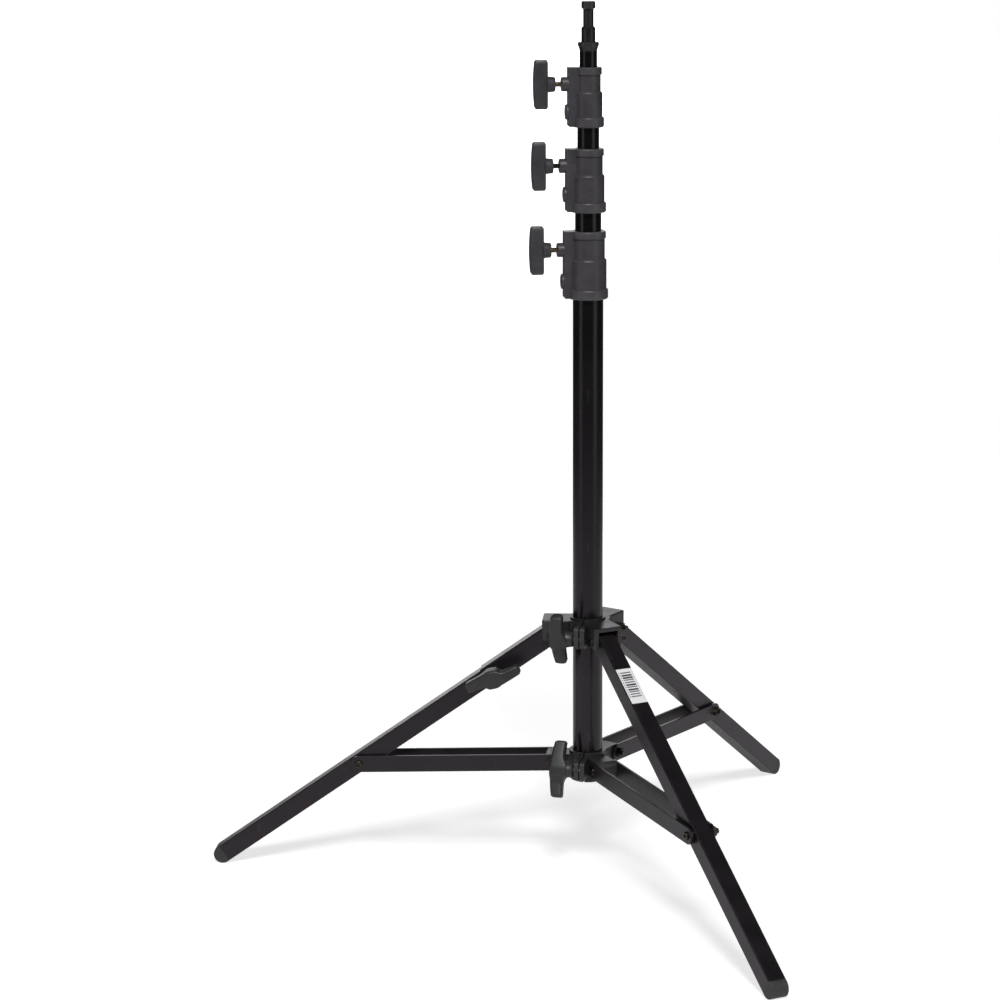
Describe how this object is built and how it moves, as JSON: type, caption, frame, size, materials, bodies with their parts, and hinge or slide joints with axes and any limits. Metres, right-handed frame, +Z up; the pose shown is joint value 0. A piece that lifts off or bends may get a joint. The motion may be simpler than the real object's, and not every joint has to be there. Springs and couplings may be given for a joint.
{
  "type": "light stand",
  "caption": "Folding studio light stand with telescoping risers, clamping collars, a top stud and braced square legs, one of which slides to level the column.",
  "frame": {"origin": "on the column's axis at floor level", "axes": "+Z up along the column, towards the stud; -X along the leveling leg"},
  "size_m": [0.6874, 0.7934, 1.0288],
  "materials": {
    "tube_black": "satin black anodised tube",
    "leg_black": "satin black anodised square tube",
    "brace_black": "satin black flat bar",
    "cast_black": "fine-textured black die casting",
    "knob_plastic": "fine-grained moulded plastic",
    "guide_plastic": "plain moulded plastic",
    "foot_plastic": "matte moulded foot",
    "zinc_fastener": "yellow zinc plating",
    "stud_steel": "black oxide steel",
    "brass_pad": "plain brass",
    "label_paper": "printed paper label"
  },
  "bodies": {
    "base": {"base_tube": "tube_black", "base_plug": "guide_plastic", "lower_collar": "cast_black", "lower_collar_screw": "zinc_fastener", "lower_pressure_pad": "brass_pad"},
    "riser_1": {"riser_1_tube": "tube_black", "riser_1_glide": "guide_plastic", "middle_collar": "cast_black", "middle_collar_screw": "zinc_fastener", "middle_pressure_pad": "brass_pad"},
    "riser_2": {"riser_2_tube": "tube_black", "riser_2_glide": "guide_plastic", "upper_collar": "cast_black", "upper_collar_screw": "zinc_fastener", "upper_pressure_pad": "brass_pad"},
    "riser_3": {"riser_3_tube": "tube_black", "riser_3_glide": "guide_plastic", "stud": "stud_steel"},
    "lower_knob": {"lower_knob": "knob_plastic", "lower_knob_screw": "zinc_fastener"},
    "middle_knob": {"middle_knob": "knob_plastic", "middle_knob_screw": "zinc_fastener"},
    "upper_knob": {"upper_knob": "knob_plastic", "upper_knob_screw": "zinc_fastener"},
    "lower_hub": {"lower_hub": "cast_black", "lower_hub_nut": "zinc_fastener", "lower_pivot_bolts": "zinc_fastener", "lower_pivot_nuts": "zinc_fastener"},
    "upper_hub": {"upper_hub": "cast_black", "upper_hub_nut": "zinc_fastener", "upper_pivot_bolts": "zinc_fastener", "upper_pivot_nuts": "zinc_fastener", "upper_pivot_washers": "guide_plastic"},
    "upper_hub_handle": {"upper_hub_handle": "knob_plastic", "upper_hub_screw": "zinc_fastener"},
    "lower_hub_handle": {"lower_hub_handle": "knob_plastic", "lower_hub_screw": "zinc_fastener"},
    "leveling_leg": {"leveling_leg_sleeve": "leg_black"},
    "leveling_leg_slide": {"leveling_leg_tube": "leg_black", "leveling_foot_cap": "foot_plastic", "leveling_leg_bushing": "zinc_fastener"},
    "leg_handle": {"leg_handle": "knob_plastic", "leg_screw": "zinc_fastener"},
    "front_leg": {"front_leg_tube": "leg_black", "front_foot_cap": "foot_plastic", "front_leg_bushing": "zinc_fastener", "label": "label_paper"},
    "back_leg": {"back_leg_tube": "leg_black", "back_foot_cap": "foot_plastic", "back_leg_bushing": "zinc_fastener"},
    "leveling_brace": {"leveling_brace_left_bar": "brace_black", "leveling_brace_right_bar": "brace_black", "leveling_brace_bolt": "zinc_fastener"},
    "front_brace": {"front_brace_left_bar": "brace_black", "front_brace_right_bar": "brace_black", "front_brace_bolt": "zinc_fastener"},
    "back_brace": {"back_brace_left_bar": "brace_black", "back_brace_right_bar": "brace_black", "back_brace_bolt": "zinc_fastener"}
  },
  "joints": [
    {"name": "riser_1_slide", "type": "slide", "parent": "base", "child": "riser_1", "axis": [0, 0, 1], "range_m": [0, 0.5]},
    {"name": "riser_2_slide", "type": "slide", "parent": "riser_1", "child": "riser_2", "axis": [0, 0, 1], "range_m": [0, 0.55]},
    {"name": "riser_3_slide", "type": "slide", "parent": "riser_2", "child": "riser_3", "axis": [0, 0, 1], "range_m": [0, 0.56]},
    {"name": "lower_knob_turn", "type": "hinge", "parent": "base", "child": "lower_knob", "pos_m": [-0.04891, -0.0104, 0.7485], "axis": [-0.9781, -0.2079, 0], "range_deg": [0, 360]},
    {"name": "middle_knob_turn", "type": "hinge", "parent": "riser_1", "child": "middle_knob", "pos_m": [-0.04891, -0.0104, 0.8445], "axis": [-0.9781, -0.2079, 0], "range_deg": [0, 360]},
    {"name": "upper_knob_turn", "type": "hinge", "parent": "riser_2", "child": "upper_knob", "pos_m": [-0.04891, -0.0104, 0.9365], "axis": [-0.9781, -0.2079, 0], "range_deg": [0, 360]},
    {"name": "leg_set_slide", "type": "slide", "parent": "base", "child": "lower_hub", "axis": [0, 0, 1], "range_m": [0, 0.02]},
    {"name": "fold", "type": "slide", "parent": "lower_hub", "child": "upper_hub", "axis": [0, 0, 1], "range_m": [0, 0.35501]},
    {"name": "leveling_leg_hinge", "type": "hinge", "parent": "upper_hub", "child": "leveling_leg", "pos_m": [-0.0425, 0, 0.294], "axis": [0, -1, 0], "range_deg": [0, 54.64]},
    {"name": "leveling_brace_hinge", "type": "hinge", "parent": "lower_hub", "child": "leveling_brace", "pos_m": [-0.0438, 0, 0.1375], "axis": [0, 1, 0], "range_deg": [0, 92.06]},
    {"name": "front_leg_hinge", "type": "hinge", "parent": "upper_hub", "child": "front_leg", "pos_m": [0.02125, -0.03681, 0.294], "axis": [0.866, 0.5, 0], "range_deg": [0, 54.64]},
    {"name": "front_brace_hinge", "type": "hinge", "parent": "lower_hub", "child": "front_brace", "pos_m": [0.0219, -0.03793, 0.1375], "axis": [-0.866, -0.5, 0], "range_deg": [0, 92.06]},
    {"name": "back_leg_hinge", "type": "hinge", "parent": "upper_hub", "child": "back_leg", "pos_m": [0.02125, 0.03681, 0.294], "axis": [-0.866, 0.5, 0], "range_deg": [0, 54.64]},
    {"name": "back_brace_hinge", "type": "hinge", "parent": "lower_hub", "child": "back_brace", "pos_m": [0.0219, 0.03793, 0.1375], "axis": [0.866, -0.5, 0], "range_deg": [0, 92.06]},
    {"name": "upper_handle_turn", "type": "hinge", "parent": "upper_hub", "child": "upper_hub_handle", "pos_m": [-0.00652, -0.03896, 0.2955], "axis": [-0.9863, 0.165, 0], "range_deg": [-3, 50]},
    {"name": "lower_handle_turn", "type": "hinge", "parent": "lower_hub", "child": "lower_hub_handle", "pos_m": [-0.00652, -0.03896, 0.136], "axis": [-0.9863, 0.165, 0], "range_deg": [-70, 1]},
    {"name": "leveling_slide", "type": "slide", "parent": "leveling_leg", "child": "leveling_leg_slide", "axis": [0.8156, 0, 0.5787], "range_m": [-0.05, 0]},
    {"name": "leg_handle_turn", "type": "hinge", "parent": "leveling_leg", "child": "leg_handle", "pos_m": [-0.10938, -0.02, 0.24655], "axis": [0, -1, 0], "range_deg": [0, 360]}
  ],
  "couplings": [
    {"joint": "leveling_leg_hinge", "follows": "fold", "rad_per_m": 2.6864},
    {"joint": "leveling_brace_hinge", "follows": "fold", "rad_per_m": 4.5257},
    {"joint": "front_leg_hinge", "follows": "fold", "rad_per_m": 2.6864},
    {"joint": "front_brace_hinge", "follows": "fold", "rad_per_m": 4.5257},
    {"joint": "back_leg_hinge", "follows": "fold", "rad_per_m": 2.6864},
    {"joint": "back_brace_hinge", "follows": "fold", "rad_per_m": 4.5257}
  ]
}
